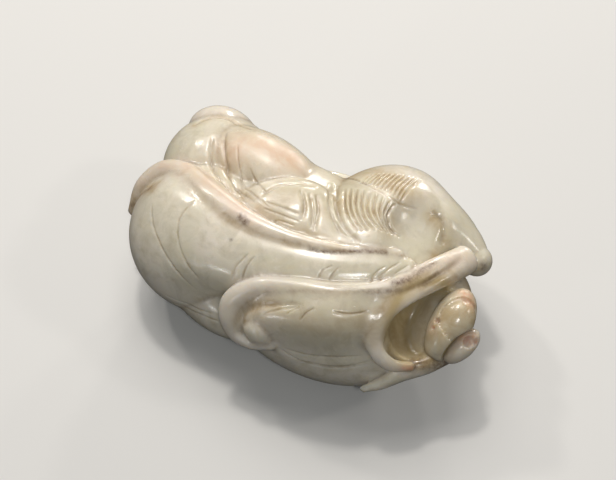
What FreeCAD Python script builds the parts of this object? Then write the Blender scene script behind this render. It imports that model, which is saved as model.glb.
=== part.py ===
import FreeCAD, Part
import math
import os

from FreeCAD import Rotation, Vector

os.makedirs("parts", exist_ok=True)

# A palm-sized carving cut from one jade pebble: curled leaves with rolled rims wrap
# a plain heart and open at one end into a cup that holds a seed and a bud.
# Millimetres. +X runs from the plump leaf to the open cup, +Z is up, the flat the
# carving rests on lies at z = 0.

# ---- driving sizes -------------------------------------------------------------

LENGTH = 67.0           # pebble, along X
DEPTH = 44.0            # pebble, along Y
HEIGHT = 27.0           # pebble, along Z
LEAF_RIM = 1.0          # thickness factor of every rolled rim
REST_DEPTH = 0.6        # how far the heart is ground away for the flat it rests on
COMB_CUTS = 9           # comb cuts below the midrib of the hooked leaf
UPPER_CUTS = 8          # comb cuts above the midrib
COMB_CUT_WIDTH = 0.7    # width of one comb cut at the surface
COMB_CUT_DEPTH = 0.5    # its depth where it is that wide
WHEEL_RADIUS = 25.0     # wheel that grinds the comb cuts
WHEEL_BEVEL = 2.0       # height of the wheel's sharp edge

# The forms below are laid out on a pebble of this size and stretch with it.
LAYOUT = (67.0, 44.0, 27.0)
STRETCH = (LENGTH / LAYOUT[0], DEPTH / LAYOUT[1], HEIGHT / LAYOUT[2])
GIRTH = (STRETCH[0] * STRETCH[1] * STRETCH[2]) ** (1.0 / 3.0)
PEBBLE_CENTRE = Vector(0, 0, HEIGHT / 2)

OVAL_POINTS = 10        # points that draw one oval cross section
EGG_RINGS = (8, 22, 42, 66, 90, 114, 138, 158, 172)     # where an egg is sectioned, degrees


# ---- how the forms are made ----------------------------------------------------

def place(x, y, z):
    """A layout position on the pebble of the chosen size."""
    return Vector(x * STRETCH[0], y * STRETCH[1], z * STRETCH[2])


def egg(centre, radii, yaw=0.0, pitch=0.0, roll=0.0):
    """A rounded lump: an ellipsoid turned about X by roll, Y by pitch and Z by yaw."""
    turned = Rotation(yaw, pitch, roll)
    axes = [
        turned.multVec(Vector(radii[0] * STRETCH[0], 0, 0)),
        turned.multVec(Vector(0, radii[1] * STRETCH[1], 0)),
        turned.multVec(Vector(0, 0, radii[2] * STRETCH[2])),
    ]
    along, across = (axes[0], axes[1]) if radii[0] >= radii[1] else (axes[1], axes[0])
    sections = []
    for angle in EGG_RINGS:
        turn = math.radians(angle)
        spot = place(*centre) - along * math.cos(turn)
        sections.append(section(spot, across, axes[2], math.sin(turn), math.sin(turn)))
    return Part.makeLoft(sections, True, False)


def outward(point):
    """Direction straight out of the pebble at a point near its skin."""
    away = point - PEBBLE_CENTRE
    return Vector(away.x / LENGTH ** 2, away.y / DEPTH ** 2, away.z / HEIGHT ** 2).normalize()


def section(centre, across, up, half_width, half_height):
    """A closed oval drawn round a point of a strip."""
    points = []
    for step in range(OVAL_POINTS):
        angle = 2 * math.pi * step / OVAL_POINTS
        sideways = across * (half_width * math.cos(angle))
        upwards = up * (half_height * math.sin(angle))
        points.append(centre + sideways + upwards)
    oval = Part.BSplineCurve()
    oval.interpolate(Points=points, PeriodicFlag=True)
    return Part.Wire(oval.toShape())


def eased(stations):
    """The stations with one more between each pair, on a smooth curve through them."""
    padded = [stations[0]] + stations + [stations[-1]]
    row = []
    for before, start, end, after in zip(padded, padded[1:], padded[2:], padded[3:]):
        row.append(start)
        row.append([(9 * (s + e) - (b + a)) / 16 for b, s, e, a in zip(before, start, end, after)])
    return row + [stations[-1]]


def strip(stations, plump=1.0):
    """A rounded strip that lies along the pebble.

    Each station is (x, y, z, half width, half thickness); the thickness stands
    straight out of the pebble and both ends are rounded off.
    """
    stations = eased(stations)
    centres = [place(*station[:3]) for station in stations]
    sections = []
    for index, station in enumerate(stations):
        before = centres[max(index - 1, 0)]
        after = centres[min(index + 1, len(centres) - 1)]
        along = (after - before).normalize()
        up = outward(centres[index])
        up = (up - along * up.dot(along)).normalize()
        across = along.cross(up)
        width = station[3] * GIRTH * plump
        height = station[4] * GIRTH * plump
        cap = min(width, height)
        rounding = [(0.0, 1.0)]
        if index == 0:
            rounding = [(-0.9, 0.44), (-0.55, 0.84), (0.0, 1.0)]
        if index == len(stations) - 1:
            rounding = [(0.0, 1.0), (0.55, 0.84), (0.9, 0.44)]
        for reach, shrink in rounding:
            spot = centres[index] + along * (cap * reach)
            sections.append(section(spot, across, up, width * shrink, height * shrink))
    return Part.makeLoft(sections, True, False)


def on_egg(x, y, centre, radii):
    """The point of an unturned egg's upper skin above layout position (x, y)."""
    level = 1 - ((x - centre[0]) / radii[0]) ** 2 - ((y - centre[1]) / radii[1]) ** 2
    return place(x, y, centre[2] + radii[2] * math.sqrt(level))


def wheel_cut(start, end):
    """The groove a sharp-edged wheel leaves when it is laid across the skin."""
    middle = (start + end) * 0.5
    along = (end - start).normalize()
    axle = along.cross(outward(middle)).normalize()
    up = axle.cross(along)
    half = (end - start).Length / 2
    hub = middle + up * math.sqrt(WHEEL_RADIUS ** 2 - half ** 2)
    edge = hub - up * WHEEL_RADIUS
    rim_back = hub - up * (WHEEL_RADIUS - WHEEL_BEVEL)
    flank = axle * (WHEEL_BEVEL * COMB_CUT_WIDTH / (2 * COMB_CUT_DEPTH))
    profile = Part.Face(Part.makePolygon([rim_back - flank, edge, rim_back + flank, rim_back - flank]))
    return profile.revolve(hub, axle, 360)


def comb(count, first, last, centre, radii):
    """A row of wheel cuts; first and last are each (start x, start y, end x, end y)."""
    cuts = []
    for index in range(count):
        share = index / (count - 1)
        line = [a + (b - a) * share for a, b in zip(first, last)]
        start = on_egg(line[0], line[1], centre, radii)
        end = on_egg(line[2], line[3], centre, radii)
        cuts.append(wheel_cut(start, end))
    return cuts


def biggest(shape):
    """The main solid of a cut shape, without loose slivers."""
    return max(shape.Solids, key=lambda solid: solid.Volume)


# ---- the carved forms ----------------------------------------------------------

# hollows ground into the forms
HOLLOW = egg((27.0, -5.2, 20.2), (5.2, 6.6, 6.6), yaw=10)
WAIST = egg((-3.0, 24.0, 18.0), (15.0, 11.0, 22.0))
DIMPLE = egg((18.2, 7.0, 26.8), (6.0, 6.2, 3.6), yaw=20)
SEED_DISH = egg((30.4, -2.2, 20.9), (2.4, 4.6, 1.3), yaw=-8, pitch=34)

# The forms, from the one that lies on top to the one at the bottom.

forms = {}

forms["leaf_knob"] = egg((2.4, -18.6, 16.2), (3.3, 3.2, 3.0))

forms["small_bud"] = egg((30.8, -3.6, 13.4), (2.6, 4.6, 2.6), yaw=-22, roll=14)

forms["seed"] = egg((28.0, -1.6, 17.4), (3.2, 6.2, 4.0), yaw=-8, roll=12)

forms["left_leaf_rim"] = strip([
    (-32.2, -9.0, 12.2, 1.0, 1.0),
    (-31.9, -6.0, 16.0, 1.7, 1.5),
    (-29.4, -3.4, 19.4, 2.0, 1.6),
    (-25.0, -2.8, 22.0, 1.9, 1.7),
    (-20.0, -3.8, 23.6, 1.8, 1.7),
    (-14.0, -5.4, 24.8, 2.1, 1.7),
    (-7.0, -6.8, 25.5, 1.9, 1.5),
    (1.0, -6.4, 25.8, 1.1, 1.1),
    (9.5, -3.6, 25.6, 0.8, 0.8),
    (16.5, 1.0, 24.6, 0.7, 0.7),
], LEAF_RIM)

forms["front_leaf_rim"] = strip([
    (5.0, -20.2, 14.6, 0.8, 0.9),
    (2.3, -21.0, 13.6, 1.1, 1.1),
    (-1.2, -21.3, 13.6, 1.4, 1.2),
    (-3.4, -20.6, 15.8, 1.5, 1.3),
    (-3.8, -19.0, 18.8, 1.5, 1.3),
    (-2.2, -17.2, 21.0, 1.4, 1.3),
    (0.8, -15.2, 22.8, 1.4, 1.3),
    (6.5, -12.8, 23.8, 1.3, 1.3),
    (12.3, -10.4, 24.1, 1.2, 1.2),
    (18.8, -5.2, 23.9, 1.6, 1.6),
    (23.0, 2.8, 22.8, 2.1, 2.0),
    (24.4, 7.0, 21.2, 1.9, 1.8),
], LEAF_RIM)

forms["cup_rim"] = strip([
    (25.6, 6.6, 19.8, 0.9, 0.9),
    (24.9, 3.2, 21.3, 1.2, 1.0),
    (23.2, -0.8, 22.7, 1.3, 1.1),
    (21.5, -4.8, 23.1, 1.4, 1.1),
    (20.6, -8.4, 22.5, 1.5, 1.2),
    (20.8, -11.2, 20.9, 1.5, 1.2),
    (22.0, -13.0, 18.8, 1.5, 1.2),
    (24.0, -13.3, 16.6, 1.4, 1.2),
    (26.4, -12.2, 14.8, 1.1, 1.0),
    (28.2, -10.0, 14.6, 0.8, 0.8),
], LEAF_RIM)

forms["under_leaf"] = strip([
    (21.2, -16.6, 10.0, 0.6, 0.6),
    (23.3, -14.6, 10.8, 1.3, 1.0),
    (25.6, -11.6, 12.2, 1.9, 1.4),
    (28.2, -8.4, 12.8, 2.1, 1.6),
    (29.8, -4.5, 12.2, 1.8, 1.8),
])

forms["front_leaf"] = egg((9.0, -10.8, 11.7), (16.5, 9.0, 10.3), yaw=10).fuse(strip([
    (-1.5, -17.5, 15.0, 3.5, 3.5),
    (4.0, -15.5, 18.3, 5.0, 4.5),
    (12.0, -12.5, 19.8, 5.5, 5.0),
    (18.0, -8.5, 20.0, 5.0, 4.0),
]))

forms["left_leaf"] = egg((-17.0, -5.8, 12.4), (15.0, 14.6, 12.3), yaw=-8).fuse(strip([
    (-22.0, -9.0, 18.0, 7.0, 5.0),
    (-12.0, -11.0, 20.0, 7.5, 5.0),
    (-2.0, -10.3, 21.6, 6.2, 4.0),
    (7.0, -7.6, 22.8, 4.6, 3.2),
    (14.0, -3.6, 23.3, 3.6, 2.6),
    (19.0, -0.2, 23.0, 2.2, 1.8),
]))

HOOK_CENTRE = (10.2, 4.6, 16.6)
HOOK_RADII = (12.6, 16.8, 10.2)
hook = egg(HOOK_CENTRE, HOOK_RADII).fuse(strip([
    (13.5, 12.4, 17.2, 8.4, 6.5),
    (18.5, 13.4, 16.8, 7.0, 5.8),
    (23.2, 13.0, 16.4, 4.6, 4.0),
    (26.4, 11.6, 15.8, 2.7, 2.6),
    (28.0, 11.0, 15.6, 1.5, 1.5),
]))
lower_comb = comb(COMB_CUTS, (3.6, 5.8, 6.4, 0.2), (11.4, 9.0, 15.6, 1.8), HOOK_CENTRE, HOOK_RADII)
upper_comb = comb(UPPER_CUTS, (2.6, 8.2, 2.8, 13.0), (11.4, 10.2, 12.2, 17.0), HOOK_CENTRE, HOOK_RADII)
forms["hooked_leaf"] = hook

forms["inner_leaf"] = strip([
    (-11.5, -2.8, 22.4, 2.6, 2.0),
    (-8.0, -1.6, 23.2, 5.0, 2.8),
    (-3.0, -0.2, 23.9, 6.2, 3.0),
    (1.5, -0.8, 23.9, 5.4, 2.7),
    (6.0, -2.8, 23.6, 3.2, 2.2),
    (11.0, -2.6, 23.4, 1.8, 1.6),
])

forms["back_leaf"] = egg((-23.0, 5.3, 15.4), (10.4, 10.4, 8.8))

forms["shoulder_leaf"] = egg((-14.4, 6.0, 16.8), (14.0, 8.2, 9.2), yaw=-4)

forms["back_leaf_tip"] = egg((-26.4, 11.0, 16.8), (6.7, 5.4, 5.2), yaw=6)

forms["rear_leaf_rim"] = strip([
    (-14.5, 10.6, 12.5, 0.8, 0.8),
    (-9.5, 13.2, 14.4, 1.2, 1.1),
    (-3.0, 15.9, 14.2, 1.4, 1.2),
    (4.0, 17.8, 12.0, 1.4, 1.2),
    (10.0, 17.0, 9.5, 1.2, 1.1),
    (14.5, 13.8, 8.0, 0.8, 0.8),
], LEAF_RIM)

forms["rear_leaf"] = egg((0.0, 7.5, 9.6), (17.0, 10.8, 8.0), yaw=4)

forms["cup"] = egg((21.4, -1.2, 14.2), (9.6, 11.0, 8.3), yaw=-6)

forms["base_leaf"] = egg((-11.0, -9.6, 9.4), (15.0, 10.4, 8.0), yaw=-16)

# The heart fills what the leaves leave free; its core stays whole beneath them.
skin = egg((-1.0, 0.0, 12.8 - REST_DEPTH), (29.0, 17.0, 12.8)).cut(WAIST)

CORE = egg((-1.5, -0.5, 11.6), (25.0, 13.0, 10.4))
FLOOR = Part.makeBox(4 * LENGTH, 4 * DEPTH, HEIGHT, Vector(-2 * LENGTH, -2 * DEPTH, -HEIGHT))

# ---- cut every form back to the ones that lie over it --------------------------

in_the_cup = ("small_bud", "seed")
clear_of_the_cup = ("leaf_knob", "left_leaf_rim", "front_leaf_rim", "cup_rim")
carved = {}
lying_over = []

for name, form in forms.items():
    cutters = [other for other in lying_over if other.BoundBox.intersect(form.BoundBox)]
    if name not in in_the_cup:
        cutters.append(CORE)
        if name not in clear_of_the_cup:
            cutters.append(HOLLOW)
    carved[name] = biggest(form.cut(cutters)) if cutters else form
    lying_over.append(form)

carved["seed"] = biggest(carved["seed"].cut(SEED_DISH))
for cutters in (DIMPLE, lower_comb, upper_comb):
    carved["hooked_leaf"] = biggest(carved["hooked_leaf"].cut(cutters))

heart = skin.cut(lying_over).fuse(CORE)
carved["heart"] = biggest(heart.cut([HOLLOW, forms["seed"], forms["small_bud"], FLOOR]))

# ---- put the middle of the carving's box on the origin, and write the pieces ----

whole = Part.makeCompound(list(carved.values())).optimalBoundingBox(False, False)
to_the_middle = Vector(-whole.Center.x, -whole.Center.y, 0)
print("moved by", to_the_middle)

for name, piece in carved.items():
    piece.translate(to_the_middle)
    print(name, round(piece.Volume, 1), "mm3", "closed" if piece.isValid() else "NOT VALID")
    piece.exportStep("parts/" + name + ".step")
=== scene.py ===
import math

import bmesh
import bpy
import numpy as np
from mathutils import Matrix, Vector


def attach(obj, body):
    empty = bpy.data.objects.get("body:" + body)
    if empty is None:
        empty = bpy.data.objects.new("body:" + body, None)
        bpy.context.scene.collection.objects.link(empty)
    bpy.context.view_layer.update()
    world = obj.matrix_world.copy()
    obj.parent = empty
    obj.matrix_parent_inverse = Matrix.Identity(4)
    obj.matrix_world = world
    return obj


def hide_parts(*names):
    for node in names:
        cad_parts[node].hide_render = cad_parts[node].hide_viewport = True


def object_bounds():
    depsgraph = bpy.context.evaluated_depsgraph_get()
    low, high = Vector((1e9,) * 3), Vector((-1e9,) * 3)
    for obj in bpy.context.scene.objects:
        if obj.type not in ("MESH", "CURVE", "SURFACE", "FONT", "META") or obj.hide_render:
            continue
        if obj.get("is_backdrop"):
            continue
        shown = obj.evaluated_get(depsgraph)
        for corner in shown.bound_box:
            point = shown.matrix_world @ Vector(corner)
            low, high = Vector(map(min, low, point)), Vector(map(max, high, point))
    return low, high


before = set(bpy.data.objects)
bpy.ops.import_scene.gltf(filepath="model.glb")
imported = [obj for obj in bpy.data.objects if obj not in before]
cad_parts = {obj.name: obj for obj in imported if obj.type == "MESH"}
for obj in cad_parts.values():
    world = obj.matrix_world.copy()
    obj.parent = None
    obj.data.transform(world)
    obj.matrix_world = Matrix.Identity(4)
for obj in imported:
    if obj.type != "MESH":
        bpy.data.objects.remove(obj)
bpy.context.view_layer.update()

# %% [markdown]
# # A jade leaf carving
#
# The carving is one jade pebble, ground into curled leaves with rolled rims that wrap a
# plain heart and open at one end into a cup with a seed and a bud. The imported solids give
# the forms; this lesson carves the same forms again as one continuous skin, with soft
# creases, engraved veins and comb cuts, and gives it the look of polished nephrite.
#
# The carving is worked out in millimetres on a pebble whose middle stands over x = y = 0,
# with +X towards the cup, +Z up and z = 0 on the surface it rests on. A small shift, the
# centring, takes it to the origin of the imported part, and Blender's metres come last.

import openvdb
from mathutils import Vector

MM = 0.001
PEBBLE = np.array([67.0, 44.0, 27.0])       # the pebble the forms are laid out on, mm
PEBBLE_CENTRE = np.array([0.0, 0.0, PEBBLE[2] / 2])
REST_DEPTH = 0.6                            # ground away under the heart, mm
CENTRING = np.array([-0.10, 0.64, 0.0])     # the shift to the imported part's origin, mm
CREASE = 0.45                               # softness of the creases between forms, mm

# %% [markdown]
# ## Distance to an egg
#
# Leaves rounded out of one pebble have no flat faces or straight edges, so they are hard to
# build from boxes and cylinders, and sculpting by hand can't be repeated. Each form here is
# a distance function instead: it takes points and says how far each lies outside the form,
# with negative numbers inside. Most of the forms are eggs, which are turned ellipsoids.

# %% Eggs
def turned(yaw=0.0, pitch=0.0, roll=0.0):
    """The three axes of a form, as columns, turned by angles in degrees."""
    y, p, r = np.radians([yaw, pitch, roll])
    about_z = [[np.cos(y), -np.sin(y), 0], [np.sin(y), np.cos(y), 0], [0, 0, 1]]
    about_y = [[np.cos(p), 0, np.sin(p)], [0, 1, 0], [-np.sin(p), 0, np.cos(p)]]
    about_x = [[1, 0, 0], [0, np.cos(r), -np.sin(r)], [0, np.sin(r), np.cos(r)]]
    return np.array(about_z) @ np.array(about_y) @ np.array(about_x)


def scaled_distance(local, radii):
    """Distance to an ellipsoid, true enough near its skin to walk onto it."""
    reach = np.sqrt(((local / radii) ** 2).sum(-1)) + 1e-9
    steepness = np.sqrt(((local / radii ** 2) ** 2).sum(-1)) + 1e-9
    return reach * (reach - 1) / steepness


def egg(points, centre, radii, yaw=0.0, pitch=0.0, roll=0.0, lean=0.0):
    """A turned ellipsoid; lean turns it once more about its own third axis."""
    local = (points - np.array(centre)) @ turned(yaw, pitch, roll) @ turned(lean)
    return scaled_distance(local, np.array(radii))


above = egg(np.array([[0.0, 0.0, 5.0]]), (0, 0, 0), (9, 6, 4))[0]
print("a point 1 mm above an egg is", round(float(above), 2), "mm outside it")

# %% [markdown]
# ## Smooth rows
#
# Rims, stems and engraved lines follow curves over the pebble. A few stations are enough for
# each, because a Catmull-Rom curve passes through every station. The rows are spaced evenly
# along the curve, because a strip swells where its rows bunch up.

# %% Rows through stations
def smooth_row(stations, steps):
    """Rows on a smooth curve through the stations (Catmull-Rom)."""
    rows = np.array(stations, float)
    rows = np.vstack([2 * rows[0] - rows[1], rows, 2 * rows[-1] - rows[-2]])
    where = np.linspace(0, len(rows) - 3 - 1e-9, steps)
    index = where.astype(int)
    t = (where - index)[:, None]
    a, b, c, d = rows[index], rows[index + 1], rows[index + 2], rows[index + 3]
    return 0.5 * (2 * b + (c - a) * t + (2 * a - 5 * b + 4 * c - d) * t ** 2
                  + (3 * b - a - 3 * c + d) * t ** 3)


def even_row(stations, steps, first_steps=60):
    """The same curve with its rows evenly spaced along it."""
    rows = smooth_row(stations, first_steps)
    travelled = np.r_[0, np.cumsum(np.linalg.norm(np.diff(rows[:, :3], axis=0), axis=1))]
    wanted = np.linspace(0, travelled[-1], steps)
    return np.stack([np.interp(wanted, travelled, column) for column in rows.T], 1)


print("a bend through three stations:", even_row([(0, 0, 0), (5, 2, 0), (10, 0, 0)], 5).round(1).tolist())

# %% [markdown]
# ## Distance to a strip
#
# A rolled rim or a stem is a strip: a flattened tube through stations (x, y, z, half width,
# half thickness), whose thickness stands straight out of the pebble. Only points close to a
# strip are measured, which keeps the lesson quick.

# %% Strips
def unit(vectors):
    return vectors / (np.linalg.norm(vectors, axis=-1, keepdims=True) + 1e-12)


def outward(points):
    """The way out of the pebble at each point."""
    return unit((points - PEBBLE_CENTRE) / PEBBLE ** 2)


class Strip:
    """A flattened tube through stations; call it with points for their distances."""

    steps = 72
    margin = 4.0        # how far out a strip is still measured, mm
    thinnest = 0.15     # smallest half width and half thickness, mm
    batch = 200000      # points measured at a time

    def __init__(self, stations):
        rows = even_row(stations, self.steps)
        self.centre = rows[:, :3]
        self.half = np.maximum(rows[:, 3:5], self.thinnest)
        self.along = unit(np.gradient(self.centre, axis=0))
        up = outward(self.centre)
        self.up = unit(up - (up * self.along).sum(1, keepdims=True) * self.along)
        self.across = np.cross(self.along, self.up)
        self.step = np.linalg.norm(np.diff(self.centre, axis=0), axis=1).mean()
        reach = self.half.max(1, keepdims=True) + self.margin
        self.low = (self.centre - reach).min(0)
        self.high = (self.centre + reach).max(0)

    def __call__(self, points):
        beyond = np.maximum(np.maximum(self.low - points, points - self.high), 0).max(-1)
        distance = self.margin + beyond
        near = np.where(beyond == 0)[0]
        for part in np.array_split(near, len(near) // self.batch + 1):
            distance[part] = self.measure(points[part])
        return distance

    def measure(self, points):
        squared = ((points ** 2).sum(1)[:, None] - 2 * points @ self.centre.T
                   + (self.centre ** 2).sum(1)[None])
        nearest = squared.argmin(1)
        ahead = ((points - self.centre[nearest]) * self.along[nearest]).sum(1) / self.step
        where = np.clip(nearest + ahead, 0, len(self.centre) - 1)
        index = np.minimum(where.astype(int), len(self.centre) - 2)
        t = (where - index)[:, None]

        def at(rows):
            return rows[index] * (1 - t) + rows[index + 1] * t

        offset = points - at(self.centre)
        half = at(self.half)
        radii = np.column_stack([half.min(1), half])
        local = np.stack([(offset * at(axis)).sum(1) for axis in (self.along, self.across, self.up)], -1)
        return scaled_distance(local, radii)


bar = Strip([(0, 0, 30, 2, 1), (5, 0, 30, 2, 1), (10, 0, 30, 2, 1)])
print("a point 1 mm above a strip is", bar(np.array([[5.0, 0.0, 32.0]])).round(2)[0], "mm outside it")

# %% [markdown]
# ## Joining and hollowing
#
# A wheel can't grind a perfectly sharp inner corner, and polishing rounds it more. So two
# forms are joined with a small fillet, and one is taken from another in the same way.

# %% Blend and hollow out
def blend(a, b, softness):
    """Both forms as one, with a fillet about as wide as the softness, in mm."""
    share = np.clip(0.5 + 0.5 * (b - a) / softness, 0, 1)
    return b * (1 - share) + a * share - softness * share * (1 - share)


def hollow_out(solid, hollow, softness):
    return -blend(-solid, hollow, softness)


swelling = -blend(np.zeros(1), np.zeros(1), 1.0)[0]
print("where two skins cross, a softness of 1 mm fills", float(swelling), "mm")

# %% [markdown]
# ## The strips
#
# The rims, the long parts of the two big leaves, the hook's tip, the leaf that peeps out
# between them and the leaf under the cup are strips. A bevelled curve would give such a tube
# too, but a strip can be blended into the leaf it belongs to. The leaves lie where the packed
# solids lie, and the rims and the hook's tip within about 2 mm of them.

# %% Stations of the strips
LEFT_LEAF = Strip([
    (-22, -9, 18, 7, 5), (-12, -11, 20, 7.5, 5), (-2, -10.3, 21.6, 6.2, 4),
    (7, -7.6, 22.8, 4.6, 3.2), (14, -3.6, 23.3, 3.6, 2.6), (19, -0.2, 23, 2.2, 1.8),
])
LEFT_LEAF_RIM = Strip([
    (-32.2, -9, 12.2, 1, 1), (-31.9, -6, 16, 1.7, 1.5), (-29.4, -3.4, 19.4, 2, 1.6),
    (-25.3, -3.1, 21.9, 1.9, 1.7), (-20.8, -4.5, 23.5, 1.8, 1.7), (-15, -6.3, 24.7, 2.0, 1.7),
    (-7.8, -7.5, 25.4, 1.8, 1.5), (1, -6.6, 25.8, 1.1, 1.1), (9.5, -3.6, 25.6, 0.8, 0.8),
    (16.5, 1, 24.6, 0.7, 0.7),
])
FRONT_LEAF = Strip([
    (-1.5, -17.5, 15, 3.5, 3.5), (4, -15.5, 18.3, 5, 4.5), (12, -12.5, 19.8, 5.5, 5),
    (18, -8.5, 20, 5, 4),
])
FRONT_LEAF_RIM = Strip([
    (5, -20.2, 14.6, 0.8, 0.9), (2.3, -21, 13.6, 1.1, 1.1), (-1.2, -21.2, 13.6, 1.5, 1.2),
    (-3.2, -20.4, 15.9, 1.8, 1.3), (-3.5, -18.9, 18.7, 1.9, 1.3), (-2, -17.1, 21, 1.7, 1.3),
    (0.8, -15.2, 22.8, 1.4, 1.3), (6.5, -12.8, 23.8, 1.3, 1.3), (12.3, -10.4, 24.1, 1.2, 1.2),
    (18.8, -5.2, 23.7, 1.8, 1.5), (23.2, 2.6, 22.6, 2.4, 1.6), (25.4, 8.9, 20.3, 2.5, 1.6),
])
HOOK = Strip([
    (13.5, 12.4, 17.2, 8.4, 6.5), (18.5, 13.4, 16.8, 7, 5.8), (22.6, 13.1, 16.5, 4.9, 4.2),
    (26, 12.2, 16.3, 2.9, 2.7),
])
INNER_LEAF = Strip([
    (-11.5, -2.8, 22.4, 2.6, 2), (-8, -1.6, 23.2, 5, 2.8), (-3, -0.2, 23.9, 6.2, 3),
    (1.5, -0.8, 23.9, 5.4, 2.7), (6, -2.8, 23.6, 3.2, 2.2), (11, -2.6, 23.4, 1.8, 1.6),
])
CUP_RIM = Strip([
    (26.2, 7.6, 20.2, 0.9, 0.7), (25.2, 3.4, 21.9, 1.2, 0.7), (22.9, -2.4, 23.2, 1.3, 0.7),
    (20.9, -7.2, 23.3, 1.4, 0.7), (20, -10.6, 22, 1.4, 0.7), (20.6, -13, 19.8, 1.4, 0.7),
    (22.4, -13.9, 17.7, 1.3, 0.7), (24.6, -13.3, 16, 1.2, 0.7), (26.8, -11.4, 15.1, 0.9, 0.7),
])
UNDER_LEAF = Strip([
    (21.2, -16.6, 10, 0.6, 0.6), (23.3, -14.6, 10.8, 1.3, 1), (25.6, -11.6, 12.2, 1.9, 1.4),
    (28.2, -8.4, 12.8, 2.1, 1.6), (29.8, -4.5, 12.2, 1.8, 1.8),
])
REAR_LEAF_RIM = Strip([
    (-14.5, 10.6, 12.5, 0.8, 0.8), (-9.5, 13.2, 14.4, 1.2, 1.1), (-3, 15.9, 14.2, 1.4, 1.2),
    (4, 17.8, 12, 1.4, 1.2), (10, 17, 9.5, 1.2, 1.1), (14.5, 13.8, 8, 0.8, 0.8),
])
STRIPS = (LEFT_LEAF, LEFT_LEAF_RIM, FRONT_LEAF, FRONT_LEAF_RIM, HOOK, INNER_LEAF, CUP_RIM,
          UNDER_LEAF, REAR_LEAF_RIM)
print("strips, mm long:", [round(strip.step * (strip.steps - 1)) for strip in STRIPS])

# %% [markdown]
# ## The stone's forms
#
# The real leaves swell out of one stone and overlap each other, so the forms overlap freely
# and nothing has to be cut to fit. Each one is filed under the name of its node. Where a
# leaf is made from an egg and a strip, the two are blended wide, because they are one leaf.
# The hollow of the cup is taken from every form it reaches, and a low mound, the nest, rises
# in it to carry the seed.

# %% The forms of the stone, by the name of the node
CUP_HOLLOW = {"centre": (26.1, -5.9, 20.4), "radii": (6.1, 7.5, 6.8), "yaw": 10}
HOLLOWED = ("heart", "left_leaf", "front_leaf", "hooked_leaf", "inner_leaf", "cup")
TILT = {"yaw": 33, "roll": 35}      # the way the cup's mouth looks, degrees
SEED_LEAN, BUD_LEAN = -27, -49      # how seed and bud lean about that direction, degrees


def stone_forms(points):
    """Distances to every form but the seed and the bud."""
    def lump(*place, **turn):
        return egg(points, *place, **turn)

    waist = lump((-3, 24, 18), (15, 11, 22))
    dimple = lump((18.2, 7, 26.8), (6, 6.2, 3.6), yaw=20)
    skin = hollow_out(lump((-1, 0, 12.8 - REST_DEPTH), (29, 17, 12.8)), waist, 3.0)
    hook = blend(lump((9.9, 5.2, 16.8), (12.6, 17, 10.2)), HOOK(points), 2.5)
    made = {
        "heart": blend(skin, lump((-1.5, -0.5, 11.6), (25, 13, 10.4)), CREASE),
        "left_leaf": blend(lump((-17, -5.8, 12.4), (15, 14.6, 12.3), yaw=-8), LEFT_LEAF(points), 3.0),
        "front_leaf": blend(lump((9, -10.8, 11.7), (16.5, 9, 10.3), yaw=10), FRONT_LEAF(points), 2.0),
        "hooked_leaf": hollow_out(hook, dimple, 3.0),
        "inner_leaf": INNER_LEAF(points),
        "back_leaf": lump((-23, 5.3, 15.4), (10.4, 10.4, 8.8)),
        "back_leaf_tip": lump((-26.4, 11, 16.8), (6.7, 5.4, 5.2), yaw=6),
        "shoulder_leaf": lump((-14.4, 6, 16.8), (14, 8.2, 9.2), yaw=-4),
        "rear_leaf": lump((0, 7.5, 9.6), (17, 10.8, 8), yaw=4),
        "base_leaf": lump((-11, -9.6, 9.4), (15, 10.4, 8), yaw=-16),
        "cup": lump((21.4, -1.2, 14.2), (9.6, 11, 8.3), yaw=-6),
        "left_leaf_rim": LEFT_LEAF_RIM(points),
        "front_leaf_rim": FRONT_LEAF_RIM(points),
        "cup_rim": CUP_RIM(points),
        "rear_leaf_rim": REAR_LEAF_RIM(points),
        "under_leaf": UNDER_LEAF(points),
        "leaf_knob": lump((2.4, -18.6, 16.2), (3.3, 3.2, 3.0)),
    }
    hollow = egg(points, **CUP_HOLLOW)
    for name in HOLLOWED:
        made[name] = hollow_out(made[name], hollow, 0.6)
    nest = lump((27.1, -1.5, 14.95), (4.6, 6.8, 4.0), lean=SEED_LEAN, **TILT)
    made["cup"] = blend(made["cup"], nest, 1.6)
    return made


print("forms of the stone:", ", ".join(stone_forms(np.zeros((1, 3)))))

# %% [markdown]
# ## Seed and bud
#
# The seed is a kernel that shows in a thicker husk, with a shallow groove round it, and the
# bud lies in a notch of the husk. Their tips are chipped. A rough chip could be sculpted, but
# at this size a small sphere taken away looks the same and is placed with four numbers.

# %% The seed and the bud
GROOVE_WIDTH, GROOVE_DEPTH = 0.4, 0.22      # round the kernel, mm
CHIPS = [  # centre and radius, mm
    ((29.9, 1.0, 22.3), 1.1), ((30.8, 2.0, 21.6), 0.8), ((29.0, 2.2, 22.1), 0.8),
    ((27.0, -5.2, 18.9), 0.5), ((27.2, -4.0, 19.6), 0.5),
    ((33.3, -3.2, 17.6), 1.5), ((34.3, -2.3, 16.6), 0.9),
]


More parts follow.
